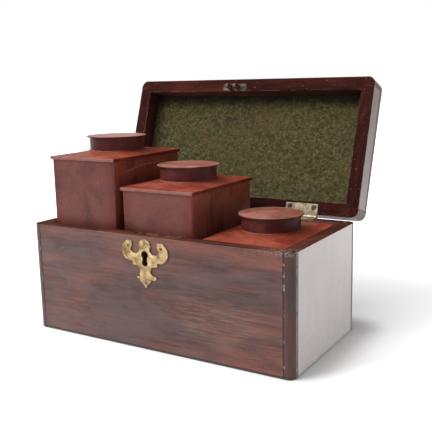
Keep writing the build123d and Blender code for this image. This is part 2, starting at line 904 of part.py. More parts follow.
def main():
    os.makedirs("parts", exist_ok=True)
    for name, piece in carcass_parts().items():
        save(name, [piece])
    for name, piece in lid_parts().items():
        save(name, [opened(piece)])

    for side, middle_x in hinge_middles().items():
        places = hinge_screw_places(middle_x)
        save(side + "_hinge_carcass_leaf", [carcass_leaf(middle_x)])
        save(side + "_hinge_lid_leaf", [opened(lid_leaf(middle_x))])
        save(side + "_hinge_pin", [hinge_pin(middle_x)])
        lower = [Pos(x, y, carcass_height) * screw(hinge_screw) for x, y in places]
        upper = [Pos(x, y, lid_rim_z) * Rot(X=180) * screw(hinge_screw) for x, y in places]
        save(side + "_hinge_carcass_screws", lower)
        save(side + "_hinge_lid_screws", [opened(piece) for piece in upper])

    save("lock_case", [lock_case()])
    save("lock_bolt", [lock_bolt()])
    save("lock_spring", [lock_spring()])
    save("lock_key_pin", [key_pin()])
    save("lock_screws", [
        Pos(x, lock_back_y, z) * Rot(X=-90) * screw(lock_screw) for x, z in lock_screw_places()
    ])
    save("keep_plate", [opened(keep_plate())])
    save("keep_screws", [
        opened(Pos(x, lock_middle_y, lid_rim_z) * Rot(X=180) * screw(keep_screw))
        for x in keep_screw_places()
    ])
    save("key_plate", [key_plate()])
    save("key_plate_nails", plate_nails())

    canister = canister_parts()
    for side, (middle_x, middle_y, raised) in canister_places().items():
        place = Pos(middle_x, middle_y, canister_floor_z + raised)
        for name, piece in canister.items():
            save(side + "_canister_" + name, [place * piece])
        save(side + "_canister_cap", [place * cap()])


if __name__ == "__main__":
    main()
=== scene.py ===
import json
import math
import random

import bmesh
import bpy
from mathutils import Matrix, Vector, noise

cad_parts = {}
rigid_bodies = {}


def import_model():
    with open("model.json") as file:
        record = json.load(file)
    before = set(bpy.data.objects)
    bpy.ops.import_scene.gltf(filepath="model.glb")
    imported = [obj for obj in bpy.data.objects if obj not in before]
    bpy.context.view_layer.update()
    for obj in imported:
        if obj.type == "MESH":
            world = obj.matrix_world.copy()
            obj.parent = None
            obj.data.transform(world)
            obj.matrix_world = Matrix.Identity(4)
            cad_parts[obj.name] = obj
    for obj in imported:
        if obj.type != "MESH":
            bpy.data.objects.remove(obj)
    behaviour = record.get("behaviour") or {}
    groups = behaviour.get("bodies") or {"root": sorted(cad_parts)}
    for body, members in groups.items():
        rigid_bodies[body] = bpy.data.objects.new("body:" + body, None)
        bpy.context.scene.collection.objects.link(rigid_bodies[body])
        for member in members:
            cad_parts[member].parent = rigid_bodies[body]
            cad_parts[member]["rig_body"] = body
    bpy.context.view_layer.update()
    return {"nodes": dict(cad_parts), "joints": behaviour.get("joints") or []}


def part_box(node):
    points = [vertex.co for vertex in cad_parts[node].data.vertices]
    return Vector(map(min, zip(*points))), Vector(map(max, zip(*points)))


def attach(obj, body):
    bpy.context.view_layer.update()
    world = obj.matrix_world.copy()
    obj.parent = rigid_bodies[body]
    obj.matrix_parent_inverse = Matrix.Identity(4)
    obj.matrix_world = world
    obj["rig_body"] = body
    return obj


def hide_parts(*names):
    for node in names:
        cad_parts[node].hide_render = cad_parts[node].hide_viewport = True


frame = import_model()
nodes = frame["nodes"]

MM = 0.001
WEAR = "wear"
UP, DOWN, RIGHT, FRONT = (0, 0, 1), (0, 0, -1), (1, 0, 0), (0, -1, 0)

# Materials are drawn on the closed lid: open_lid turns a point of it to the open lid
lid_joint = [joint for joint in frame["joints"] if joint["name"] == "lid_hinge"][0]
hinge_point = Vector(lid_joint["pos_m"])
lid_angle = math.radians(lid_joint["range_deg"][0])
open_lid = (
    Matrix.Translation(hinge_point)
    @ Matrix.Rotation(lid_angle, 4, "X")
    @ Matrix.Translation(-hinge_point)
)
close_lid = open_lid.inverted()


def body_name(node):
    """The body that a node rides on."""
    return nodes[node]["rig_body"]


def closed_box(node):
    """A lid node's box with the lid closed, in metres."""
    points = [close_lid @ vertex.co for vertex in nodes[node].data.vertices]
    low = Vector([min(point[i] for point in points) for i in range(3)])
    high = Vector([max(point[i] for point in points) for i in range(3)])
    return low, high


# Camera, at the photograph's viewing angle
camera_place = Vector((0.3249, -0.49315, 0.21572))
camera_yaw = math.radians(31.27)
camera_pitch = math.radians(10.97)
camera_roll = math.radians(-1.22)

forward = Vector((
    -math.sin(camera_yaw) * math.cos(camera_pitch),
    math.cos(camera_yaw) * math.cos(camera_pitch),
    -math.sin(camera_pitch),
))
level_right = forward.cross(Vector((0, 0, 1))).normalized()
level_up = level_right.cross(forward)
right = level_right * math.cos(camera_roll) + level_up * math.sin(camera_roll)
up = -level_right * math.sin(camera_roll) + level_up * math.cos(camera_roll)
turn = Matrix((right, up, -forward)).transposed()

camera = bpy.data.cameras.new("camera")
camera.lens = 57.42
camera.sensor_width = 36
camera.clip_start = 0.01
camera_object = bpy.data.objects.new("camera", camera)
camera_object.matrix_world = Matrix.Translation(camera_place) @ turn.to_4x4()
bpy.context.scene.collection.objects.link(camera_object)
bpy.context.scene.camera = camera_object
bpy.context.scene.view_settings.view_transform = "Standard"


# Materials
class Graph:
    """One material's nodes, wired up in short calls."""

    def __init__(self, name):
        self.material = bpy.data.materials.new(name)
        self.material.use_nodes = True
        self.tree = self.material.node_tree
        self.tree.nodes.clear()
        self.output = self.add("ShaderNodeOutputMaterial")
        self.shader = self.add("ShaderNodeBsdfPrincipled")
        self.link(self.shader.outputs[0], self.output.inputs[0])

    @classmethod
    def over(cls, material):
        """A finished material opened again, to draw over its colour."""
        g = cls.__new__(cls)
        g.material = material
        g.tree = material.node_tree
        g.shader = [node for node in g.tree.nodes if node.type == "BSDF_PRINCIPLED"][0]
        g.taken = g.shader.inputs[0].links[0].from_socket
        return g

    def add(self, kind):
        """A new node of a kind."""
        return self.tree.nodes.new(kind)

    def link(self, source, target):
        """An output socket wired to an input socket."""
        self.tree.links.new(source, target)

    def put(self, value, target):
        """A socket or a plain value goes into an input."""
        if isinstance(value, bpy.types.NodeSocket):
            self.link(value, target)
        elif isinstance(value, tuple) and len(value) == 3 and target.type == "RGBA":
            target.default_value = (*value, 1)
        else:
            target.default_value = value

    def place(self, order="XYZ", scale=(1, 1, 1), lid=False, shift=(0, 0, 0)):
        """Object coordinates, on the closed lid for a lid piece, reordered and scaled."""
        point = self.add("ShaderNodeTexCoord").outputs["Object"]
        if lid:
            back = self.add("ShaderNodeMapping")
            back.inputs["Rotation"].default_value = close_lid.to_euler()
            back.inputs["Location"].default_value = close_lid.to_translation()
            self.link(point, back.inputs["Vector"])
            point = back.outputs[0]
        split = self.add("ShaderNodeSeparateXYZ")
        self.link(point, split.inputs[0])
        joined = self.add("ShaderNodeCombineXYZ")
        for i, axis in enumerate(order):
            self.link(split.outputs["XYZ".index(axis)], joined.inputs[i])
        scaled = self.add("ShaderNodeMapping")
        scaled.inputs["Scale"].default_value = scale
        scaled.inputs["Location"].default_value = shift
        self.link(joined.outputs[0], scaled.inputs["Vector"])
        return scaled.outputs[0]

    def where(self, lid=False):
        """The point's own x, y and z in metres, on the closed lid for a lid piece."""
        split = self.add("ShaderNodeSeparateXYZ")
        self.link(self.place(lid=lid), split.inputs[0])
        return split.outputs

    def noise(self, vector, detail, rough, distort=0.0):
        """Noise at a scaled point: the point's scale sets the size of its features."""
        node = self.add("ShaderNodeTexNoise")
        self.link(vector, node.inputs["Vector"])
        node.inputs["Scale"].default_value = 1.0
        node.inputs["Detail"].default_value = detail
        node.inputs["Roughness"].default_value = rough
        node.inputs["Distortion"].default_value = distort
        return node.outputs[0]

    def math(self, kind, a, b=0.0):
        """A sum, a product or another operation on one or two values."""
        node = self.add("ShaderNodeMath")
        node.operation = kind
        self.put(a, node.inputs[0])
        self.put(b, node.inputs[1])
        return node.outputs[0]

    def fit(self, value, low, high, to_low=0.0, to_high=1.0):
        """A value's range carried smoothly to another range and clamped there."""
        node = self.add("ShaderNodeMapRange")
        node.interpolation_type = "SMOOTHSTEP"
        self.put(value, node.inputs["Value"])
        node.inputs["From Min"].default_value = low
        node.inputs["From Max"].default_value = high
        node.inputs["To Min"].default_value = to_low
        node.inputs["To Max"].default_value = to_high
        return node.outputs[0]

    def ramp(self, value, *stops):
        """A colour by value, from (position, colour) stops."""
        node = self.add("ShaderNodeValToRGB")
        elements = node.color_ramp.elements
        while len(elements) < len(stops):
            elements.new(0.5)
        for element, (position, colour) in zip(elements, stops):
            element.position = position
            element.color = (*colour, 1)
        self.put(value, node.inputs[0])
        return node.outputs[0]

    def blend(self, share, a, b):
        """Colour b over colour a by a share."""
        node = self.add("ShaderNodeMix")
        node.data_type = "RGBA"
        self.put(share, node.inputs["Factor"])
        self.put(a, node.inputs[6])
        self.put(b, node.inputs[7])
        return node.outputs[2]

    def bump(self, height, distance, under=None):
        """A normal from a height, over another normal if one is given."""
        node = self.add("ShaderNodeBump")
        node.inputs["Strength"].default_value = 1.0
        node.inputs["Distance"].default_value = distance
        self.put(height, node.inputs["Height"])
        if under is not None:
            self.link(under, node.inputs["Normal"])
        return node.outputs[0]

    def wear(self):
        """1 on the arrises that softened() has rounded, 0 elsewhere."""
        node = self.add("ShaderNodeAttribute")
        node.attribute_name = WEAR
        return node.outputs["Fac"]

    def facing(self, direction, lid=False):
        """How squarely the surface faces a direction, given for the closed lid on a lid piece."""
        if lid:
            direction = open_lid.to_3x3() @ Vector(direction)
        node = self.add("ShaderNodeVectorMath")
        node.operation = "DOT_PRODUCT"
        self.link(self.add("ShaderNodeTexCoord").outputs["Normal"], node.inputs[0])
        node.inputs[1].default_value = tuple(direction)
        return node.outputs["Value"]

    def square_to(self, direction, lid=False):
        """1 where the surface squarely faces a direction, 0 elsewhere."""
        return self.fit(self.facing(direction, lid), 0.8, 0.95)

    def away(self, value, middle):
        """A value's distance from a middle."""
        return self.math("ABSOLUTE", self.math("SUBTRACT", value, middle))

    def band(self, value, middle, half, soft):
        """1 within half of the middle, fading over soft."""
        return self.fit(self.away(value, middle), half, half + soft, 1.0, 0.0)

    def stroke(self, u, v, start, end, width):
        """1 along a thin line between two points of a plane with the coordinates u and v."""
        along = Vector(end) - Vector(start)
        length = along.length
        along.normalize()
        du = self.math("SUBTRACT", u, start[0])
        dv = self.math("SUBTRACT", v, start[1])
        run = self.math("ADD", self.product(du, along.x), self.product(dv, along.y))
        off = self.math("SUBTRACT", self.product(dv, along.x), self.product(du, along.y))
        side = self.band(off, 0.0, width / 2, width / 2)
        return self.product(side, self.band(run, length / 2, length / 2, width))

    def product(self, *values):
        """All the values multiplied."""
        result = values[0]
        for value in values[1:]:
            result = self.math("MULTIPLY", result, value)
        return result

    def finish(self, colour, rough, normal=None, **others):
        """The shader's inputs filled, the others by name, and the material given back."""
        self.put(colour, self.shader.inputs["Base Color"])
        self.put(rough, self.shader.inputs["Roughness"])
        if normal is not None:
            self.link(normal, self.shader.inputs["Normal"])
        for name, value in others.items():
            self.put(value, self.shader.inputs[name.replace("_", " ")])
        return self.material


# Where the wood is worn, where its right end face takes a faded shade and a painted reflection,
# and where a painted contact shadow darkens its foot; the half size and soft edge of the tawny
# patch; and the shades
END_FACE_X = (121 * MM, 123 * MM)
FOOT_SHADOW_Z = (1.8 * MM, 3.0 * MM)
CHIPPED_CORNER = ((92 * MM, 116 * MM), (-46 * MM, -58 * MM), (91.5 * MM, 95.5 * MM))
TAWNY_X = (20 * MM, 28 * MM)
TAWNY_Z = (6 * MM, 16 * MM)
CHIP_SHADE = (0.235, 0.170, 0.145)
PAINTED_FOOT_SHADOW = (0.018, 0.009, 0.007)
RUBBED_SHADE = (0.30, 0.17, 0.13)
FLECK_SHADE = (0.28, 0.15, 0.12)
TAWNY_SHADE = (0.235, 0.095, 0.050)


def wood(name, order, lid=False, seed=0.0, dark=(0.024, 0.008, 0.006), mid=(0.082, 0.021, 0.014),
         light=(0.188, 0.056, 0.035), haze=(0.114, 0.077, 0.075), haze_share=0.45, gloss=0.36,
         coat=0.08, coat_ior=1.5, shine=0.34, faded_end_with_painted_reflection=False, chipped=False, tawny=None):
    """Old polished mahogany; order puts the grain's direction first.

    Haze is the bloom on the polish. On the faded end at the chest's right, it is both the faded
    wood and a painted reflection that makes the side pale. A chipped piece has chips at the front
    right corner, and tawny is the X and Z of a browner patch. The strong clear coat of the right
    side, with a high coat_ior, gives old polish its broad reflection.
    """
    g = Graph(name)
    shift = (seed, seed * 1.7, seed * 0.6)
    cloud = g.noise(g.place(order, (9, 24, 24), lid, shift), 4, 0.6, 0.6)
    figure = g.noise(g.place(order, (9, 130, 130), lid, shift), 6, 0.68, 1.2)
    fine = g.noise(g.place(order, (60, 680, 680), lid, shift), 4, 0.62, 0.5)
    pores = g.noise(g.place(order, (240, 4200, 4200), lid, shift), 2, 0.5)
    bloom = g.noise(g.place(order, (16, 52, 52), lid, (seed + 7, seed, seed)), 6, 0.68, 0.9)
    flecks = g.noise(g.place(order, (420, 420, 420), lid, shift), 2, 0.5)
    rub = g.noise(g.place(order, (70, 260, 260), lid, shift), 4, 0.65)
    ripple = g.noise(g.place(order, (26, 60, 60), lid, shift), 2, 0.5)
    here = g.where(lid)
    rim = g.fit(g.facing(DOWN if lid else UP, lid), 0.55, 0.80)

    # The grain
    tone = g.math("ADD", g.product(cloud, 0.60), g.product(figure, 0.40))
    colour = g.ramp(tone, (0.40, dark), (0.50, mid), (0.60, light))
    colour = g.blend(g.fit(fine, 0.46, 0.66, 0.0, 0.34), colour, light)
    colour = g.blend(g.fit(fine, 0.50, 0.32, 0.0, 0.34), colour, dark)
    pore_share = g.fit(pores, 0.58, 0.66, 0.0, 0.6)
    colour = g.blend(pore_share, colour, dark)

    # The bloom on the polish; on the faded right end, faded wood under a painted reflection
    if faded_end_with_painted_reflection:
        veil = g.product(g.fit(bloom, 0.36, 0.64, haze_share * 0.9, haze_share),
                         g.square_to(RIGHT, lid), g.fit(here[0], *END_FACE_X))
    else:
        veil = g.product(g.fit(bloom, 0.40, 0.60, haze_share * 0.2, haze_share),
                         g.math("SUBTRACT", 1.0, rim))
    colour = g.blend(veil, colour, haze)
    if tawny:
        patch = g.product(g.band(here[0], tawny[0], *TAWNY_X),
                          g.band(here[2], tawny[1], *TAWNY_Z),
                          g.fit(fine, 0.40, 0.62, 0.05, 0.5))
        colour = g.blend(patch, colour, TAWNY_SHADE)

    # Darker, duller and flecked rims, rubbed arrises, a painted contact shadow along the foot,
    # chips
    colour = g.blend(g.product(rim, 0.45), colour, dark)
    fleck_share = g.product(rim, g.fit(flecks, 0.68, 0.74, 0.0, 0.55))
    colour = g.blend(fleck_share, colour, FLECK_SHADE)
    rubbed = g.product(g.wear(), g.fit(rub, 0.46, 0.62, 0.0, 0.50))
    colour = g.blend(rubbed, colour, RUBBED_SHADE)
    # A painted shadow darkens the carcass's bottom few millimetres, where it meets the floor
    if not lid:
        colour = g.blend(g.fit(here[2], *FOOT_SHADOW_Z, 0.92, 0.0), colour, PAINTED_FOOT_SHADOW)
    if chipped:
        chips = g.noise(g.place("XYZ", (420, 420, 700)), 4, 0.7)
        near = g.product(*(g.fit(here[i], *reach) for i, reach in enumerate(CHIPPED_CORNER)))
        colour = g.blend(g.product(near, g.fit(chips, 0.48, 0.56, 0.0, 0.75)), colour, CHIP_SHADE)

    rough = g.fit(cloud, 0.3, 0.7, gloss - 0.05, gloss + 0.10)
    rough = g.math("ADD", rough, g.product(pore_share, 0.12))
    rough = g.math("ADD", rough, g.product(rim, 0.3))
    height = g.math("SUBTRACT", g.product(fine, 0.35), g.product(pore_share, 0.8))
    normal = g.bump(ripple, 0.0005, g.bump(height, 0.00005))
    return g.finish(colour, rough, normal, Coat_Weight=g.fit(rim, 0.0, 1.0, coat, 0.0),
                    Coat_Roughness=0.25, Coat_IOR=coat_ior,
                    Specular_IOR_Level=g.fit(rim, 0.0, 1.0, shine, 0.03))


def plain_board(name, order, seed):
    """Unpolished board inside the chest and under it."""
    g = Graph(name)
    cloud = g.noise(g.place(order, (10, 30, 30), False, (seed, 0, seed)), 3, 0.5, 0.3)
    figure = g.noise(g.place(order, (16, 220, 220), False, (seed, 0, 0)), 6, 0.65, 0.5)
    fine = g.noise(g.place(order, (90, 1800, 1800), False, (seed, 0, 0)), 3, 0.6)
    tone = g.math("ADD", g.product(cloud, 0.4), g.product(figure, 0.6))
    colour = g.ramp(tone, (0.34, (0.05, 0.022, 0.015)), (0.66, (0.15, 0.070, 0.045)))
    colour = g.blend(g.fit(fine, 0.4, 0.7, 0.0, 0.5), colour, (0.20, 0.11, 0.08))
    normal = g.bump(fine, 0.00008)
    return g.finish(colour, g.fit(cloud, 0.3, 0.7, 0.62, 0.8), normal)


# The tins' wear: how far it reaches below the top and in from the corners, and its shades, among
# them a painted sheen on the dusty front and painted light on the right side
BELOW_TOP = (4 * MM, 26 * MM)
CORNER_OUTER = 0.2 * MM
CORNER_INNER = 0.9 * MM
SCRATCH_WIDTH = 0.55 * MM
SPECK_SHADE = (0.08, 0.016, 0.012)
DUST_AND_SHEEN_SHADE = (0.150, 0.053, 0.046)
PAINTED_SIDE_LIGHT = (0.215, 0.058, 0.044)
THIN_PAINT_SHADE = (0.290, 0.074, 0.040)
CORNER_SHADE = (0.36, 0.16, 0.12)
SCRATCH_SHADE = (0.40, 0.24, 0.20)


def painted_tin(name, seed, shades, shine, coat, disc=None, hem_highlight=None, body_box=None,
                scratches=()):
    """Worn red paint on tin.

    Disc holds the shades of a cap's rubbed top, and hem the colour of a painted highlight on a
    top's front edge, whose right-facing faces take painted shade. A tin's body_box places the
    dusty front under a painted sheen, painted light in streaks on the right side, and the wear on
    its sides, with scratches as (y, z) lines on its right.
    """
    g = Graph(name)
    shift = (seed, seed * 0.7, seed * 1.3)
    cloud = g.noise(g.place("XYZ", (30, 30, 30), False, shift), 4, 0.6, 0.5)
    streak = g.noise(g.place("ZXY", (14, 190, 190), False, shift), 5, 0.6, 0.3)
    speck = g.noise(g.place("XYZ", (430, 430, 430), False, shift), 3, 0.65)
    blot = g.noise(g.place("XYZ", (75, 75, 75), False, (seed * 2, 0, seed)), 5, 0.65, 0.6)
    rub = g.noise(g.place("XYZ", (180, 180, 180), False, shift), 4, 0.65)
    dent = g.noise(g.place("XYZ", (34, 34, 26), False, shift), 2, 0.5)
    dark, mid, light = shades
    colour = g.ramp(cloud, (0.34, dark), (0.50, mid), (0.68, light))
    colour = g.blend(g.fit(streak, 0.42, 0.72, 0.0, 0.30), colour, light)
    colour = g.blend(g.fit(blot, 0.55, 0.72, 0.0, 0.40), colour, dark)
    colour = g.blend(g.fit(speck, 0.60, 0.70, 0.0, 0.35), colour, SPECK_SHADE)
    if disc:
        uneven = g.math("ADD", g.product(rub, 0.5), g.product(cloud, 0.5))
        rubbed_disc = g.ramp(uneven, (0.38, disc[0]), (0.50, disc[1]), (0.62, disc[2]))
        colour = g.blend(g.fit(g.facing(UP), 0.75, 0.90), colour, rubbed_disc)
    if hem_highlight:
        # A painted highlight on the front-facing hem, broken by rubbing
        edge = g.fit(g.facing(FRONT), 0.35, 0.75)
        colour = g.blend(g.product(edge, g.fit(rub, 0.30, 0.60, 0.35, 0.9)), colour, hem_highlight)
        # Painted shade on the right-facing faces of the top
        colour = g.blend(g.fit(g.facing(RIGHT), 0.55, 0.9, 0.0, 0.6), colour, dark)
    if body_box:
        low, high = body_box
        middle = (low + high) / 2
        half = (high - low) / 2
        here = g.where()
        across = g.away(here[0], middle.x)
        along = g.away(here[1], middle.y)
        # The front is dusty between its edges, under a painted sheen on the same faces
        dust_and_sheen = g.product(g.fit(across, half.x * 0.62, half.x * 0.97, 1.0, 0.0),
                         g.square_to(FRONT), g.fit(cloud, 0.30, 0.62, 0.35, 0.85),
                         g.fit(speck, 0.38, 0.60, 0.55, 1.0))
        colour = g.blend(dust_and_sheen, colour, DUST_AND_SHEEN_SHADE)
        # The right side is lightened in streaks by painted light, with thin paint near its top and
        # its ends
        side = g.square_to(RIGHT)
        colour = g.blend(g.product(side, g.fit(streak, 0.38, 0.62, 0.2, 0.8)), colour, PAINTED_SIDE_LIGHT)
        below_top = g.math("SUBTRACT", high.z, here[2])
        near_edge = g.math("MAXIMUM", g.fit(below_top, *BELOW_TOP, 1.0, 0.0),
                           g.fit(along, half.y * 0.70, half.y, 0.0, 0.8))
        thin = g.product(side, near_edge, g.fit(blot, 0.40, 0.56, 0.25, 0.9))
        colour = g.blend(thin, colour, THIN_PAINT_SHADE)
        # The upright corners are rubbed
        corners = g.product(g.fit(across, half.x - CORNER_INNER, half.x - CORNER_OUTER),
                            g.fit(along, half.y - CORNER_INNER, half.y - CORNER_OUTER),
                            g.fit(rub, 0.35, 0.6, 0.2, 0.8))
        colour = g.blend(corners, colour, CORNER_SHADE)
        for start, end in scratches:
            line = g.product(g.stroke(here[1], here[2], start, end, SCRATCH_WIDTH), side,
                             g.fit(rub, 0.35, 0.5, 0.0, 0.7))
            colour = g.blend(line, colour, SCRATCH_SHADE)
    normal = g.bump(dent, 0.0009, g.bump(speck, 0.00003))
    return g.finish(colour, g.fit(cloud, 0.3, 0.7, 0.34, 0.48), normal, Coat_Weight=coat,
                    Coat_Roughness=0.3, Specular_IOR_Level=shine)


def aged_metal(name, dark, mid, light, rough, metallic, shine=0.5):
    """Dull old metal, darker in patches and brighter where it is rubbed."""
    g = Graph(name)
    cloud = g.noise(g.place("XYZ", (160, 160, 160)), 4, 0.6, 0.4)
    speck = g.noise(g.place("XYZ", (1100, 1100, 1100)), 3, 0.6)
    colour = g.ramp(cloud, (0.34, dark), (0.52, mid), (0.68, light))
    colour = g.blend(g.fit(speck, 0.56, 0.70, 0.0, 0.5), colour, dark)
    rubbed = g.product(g.wear(), g.fit(cloud, 0.42, 0.58, 0.1, 0.7))
    colour = g.blend(rubbed, colour, tuple(min(1.0, 1.4 * part) for part in light))
    normal = g.bump(speck, 0.00004)
    return g.finish(colour, g.fit(cloud, 0.3, 0.7, rough + 0.12, rough - 0.06), normal,
                    Metallic=metallic, Specular_IOR_Level=shine)


# Geometry
SAME_POINT = 1e-6
FLAT_ANGLE = math.radians(0.5)
ARRIS_ANGLE = math.radians(40)
CREASE_ANGLE = math.radians(32)


def add_piece(name, mesh, material, body, node=None):
    """A new piece that rides on a body and may stand for a CAD node."""
    piece = bpy.data.objects.new(name, mesh)
    bpy.context.scene.collection.objects.link(piece)
    mesh.materials.clear()
    mesh.materials.append(material)
    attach(piece, body)
    if node:
        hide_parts(node)
    return piece


def softened(node, material, width, shortest=4 * MM):
    """A copy of a CAD node with its arrises rounded by wear and marked for the material.

    Edges not longer than shortest stay as they are.
    """
    mesh = nodes[node].data.copy()
    mesh.name = node + "_worn"
    shape = bmesh.new()
    shape.from_mesh(mesh)
    bmesh.ops.remove_doubles(shape, verts=shape.verts, dist=SAME_POINT)
    bmesh.ops.dissolve_limit(
        shape, angle_limit=FLAT_ANGLE, verts=shape.verts, edges=shape.edges
    )
    mark = shape.loops.layers.float_color.new(WEAR)
    for face in shape.faces:
        for loop in face.loops:
            loop[mark] = (0, 0, 0, 1)
    sharp = [
        edge
        for edge in shape.edges
        if len(edge.link_faces) == 2
        and edge.calc_face_angle() > ARRIS_ANGLE
        and edge.calc_length() > shortest
    ]
    made = bmesh.ops.bevel(
        shape, geom=sharp, offset=width, segments=2, profile=0.5, affect="EDGES",
        clamp_overlap=True,
    )
    for face in made["faces"]:
        for loop in face.loops:
            loop[mark] = (1, 1, 1, 1)
    shape.to_mesh(mesh)
    shape.free()
    for polygon in mesh.polygons:
        polygon.use_smooth = True
    mesh.set_sharp_from_angle(angle=CREASE_ANGLE)
    piece = add_piece(node + "_worn", mesh, material, body_name(node), node)
    # Large flat faces keep flat shading up to their rounded edges
    even = piece.modifiers.new("even", "WEIGHTED_NORMAL")
    even.keep_sharp = True


def finish_node(node, material):
    """A CAD node that keeps its own shape gets a material."""
    mesh = nodes[node].data
    if mesh.materials:
        for i in range(len(mesh.materials)):
            mesh.materials[i] = material
    else:
        mesh.materials.append(material)


# Wood
# The right ends are faded and painted pale with a reflection of their bright surroundings
FADED_AND_PAINTED_REFLECTION_SHADE = (0.290, 0.212, 0.196)
LID_FADED_AND_PAINTED_REFLECTION_SHADE = (0.205, 0.110, 0.096)
RED_MID = (0.054, 0.011, 0.008)
LID_SHADES = {"dark": (0.014, 0.004, 0.003), "mid": RED_MID, "light": (0.115, 0.027, 0.019)}

# The lines along a corner strip, each by its half width and soft edge
QUIRK_X_LINE = (0.70 * MM, 0.35 * MM)
QUIRK_Y_LINE = (1.0 * MM, 0.4 * MM)
CHIP_LINE = (0.5 * MM, 0.3 * MM)
CHIP_OFFSET = 0.9 * MM
# A painted highlight along the strip's rounded edge, beside the right side
HIGHLIGHT_LINE = (0.35 * MM, 0.4 * MM)
HIGHLIGHT_OFFSET = 2.3 * MM
# Dark joints with painted shade in the quirks, pale chips, and a painted highlight
QUIRK_JOINT_AND_PAINTED_SHADE = (0.012, 0.006, 0.005)
QUIRK_CHIP_SHADE = (0.36, 0.27, 0.24)
QUIRK_PAINTED_HIGHLIGHT = (0.50, 0.36, 0.34)

# How wide the arrises are rounded
PANEL_ARRIS = 0.35 * MM
STRIP_ARRIS = 0.3 * MM
RAIL_ARRIS = 0.4 * MM
DIVIDER_ARRIS = 0.5 * MM
KEY_PLATE_ARRIS = 0.25 * MM
KEY_PLATE_SHORTEST = 0.5 * MM

mahogany_front = wood("mahogany_front", "XYZ", seed=1.0, chipped=True, tawny=(0.062, 0.036))
mahogany_back = wood("mahogany_back", "XYZ", seed=5.0)
mahogany_left = wood("mahogany_left", "YXZ", seed=15.0)
# The chest's right side: faded wood with a painted reflection, under a strong clear coat
mahogany_right = wood("mahogany_right", "ZYX", seed=9.0, haze=FADED_AND_PAINTED_REFLECTION_SHADE, haze_share=0.97,
                      gloss=0.30, coat=0.9, coat_ior=2.3, shine=0.5, faded_end_with_painted_reflection=True,
                      chipped=True)
mahogany_strip = wood("mahogany_strip", "ZXY", seed=3.0, dark=(0.020, 0.006, 0.005), mid=RED_MID,
                      light=(0.085, 0.028, 0.021), haze_share=0.15, chipped=True)
lid_long = wood("lid_long", "XYZ", True, 11.0, **LID_SHADES, haze_share=0.12, gloss=0.42)
# The lid's right end likewise takes a faded shade with a painted reflection
lid_right = wood("lid_short", "YXZ", True, 13.0, **LID_SHADES, haze=LID_FADED_AND_PAINTED_REFLECTION_SHADE,
                 haze_share=0.80, gloss=0.34, coat=0.38, shine=0.5, faded_end_with_painted_reflection=True)
lid_left = wood("lid_plain", "YXZ", True, 19.0, **LID_SHADES, haze_share=0.12, gloss=0.42)
lid_corner = wood("lid_corner", "ZXY", True, 17.0, **LID_SHADES, haze_share=0.2)


def draw_quirks(material, strip_box):
    """Dark quirk lines where the corner strips meet the panels, chipped beside them.

    The lines are dark joints with painted shade in their grooves, and beside the right side runs a
    painted highlight, broken by rubbing.
    """
    low, high = strip_box
    strip_width = high.x - low.x
    quirk_x = max(abs(low.x), abs(high.x)) - strip_width
    quirk_y = max(abs(low.y), abs(high.y)) - strip_width
    g = Graph.over(material)
    here = g.where()
    x = g.math("ABSOLUTE", here[0])
    y = g.math("ABSOLUTE", here[1])
    rub = g.noise(g.place("XYZ", (300, 300, 120)), 3, 0.6)
    chips = g.fit(g.noise(g.place("XYZ", (90, 90, 150)), 4, 0.7), 0.58, 0.62)
    # A painted highlight along the strip's edge where it turns to the right side, broken by
    # rubbing
    rubbed = g.product(g.band(y, quirk_y + HIGHLIGHT_OFFSET, *HIGHLIGHT_LINE),
                       g.fit(g.facing(RIGHT), 0.35, 0.8), g.fit(rub, 0.35, 0.55))
    colour = g.blend(g.product(rubbed, 0.75), g.taken, QUIRK_PAINTED_HIGHLIGHT)
    chipped = g.product(g.band(x, quirk_x + CHIP_OFFSET, *CHIP_LINE), chips)
    colour = g.blend(g.product(chipped, 0.7), colour, QUIRK_CHIP_SHADE)
    # Nearly black lines at the quirks: dark joints with painted shade in their grooves
    line_x = g.product(g.band(x, quirk_x, *QUIRK_X_LINE), g.math("SUBTRACT", 1.0, chips))
    line_y = g.band(y, quirk_y, *QUIRK_Y_LINE)
    dark = g.product(g.math("MAXIMUM", line_x, line_y), 0.92)
    g.put(g.blend(dark, colour, QUIRK_JOINT_AND_PAINTED_SHADE), g.shader.inputs[0])


draw_quirks(mahogany_strip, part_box("carcass_strip_front_right"))
board_inside = plain_board("board_inside", "XYZ", 2.0)
divider_wood = plain_board("divider_wood", "YXZ", 6.0)

softened("front_panel", mahogany_front, PANEL_ARRIS)
softened("back_panel", mahogany_back, PANEL_ARRIS)
softened("left_side", mahogany_left, PANEL_ARRIS)
softened("right_side", mahogany_right, PANEL_ARRIS)
for corner in ("front_left", "front_right", "back_left", "back_right"):
    softened("carcass_strip_" + corner, mahogany_strip, STRIP_ARRIS)
    softened("lid_strip_" + corner, lid_corner, STRIP_ARRIS)
softened("lid_front_rail", lid_long, RAIL_ARRIS)
softened("lid_back_rail", lid_long, RAIL_ARRIS)
softened("lid_left_rail", lid_left, RAIL_ARRIS)
softened("lid_right_rail", lid_right, RAIL_ARRIS)
softened("lid_board", lid_long, STRIP_ARRIS)
finish_node("base_board", board_inside)
softened("left_divider", divider_wood, DIVIDER_ARRIS)
softened("right_divider", divider_wood, DIVIDER_ARRIS)

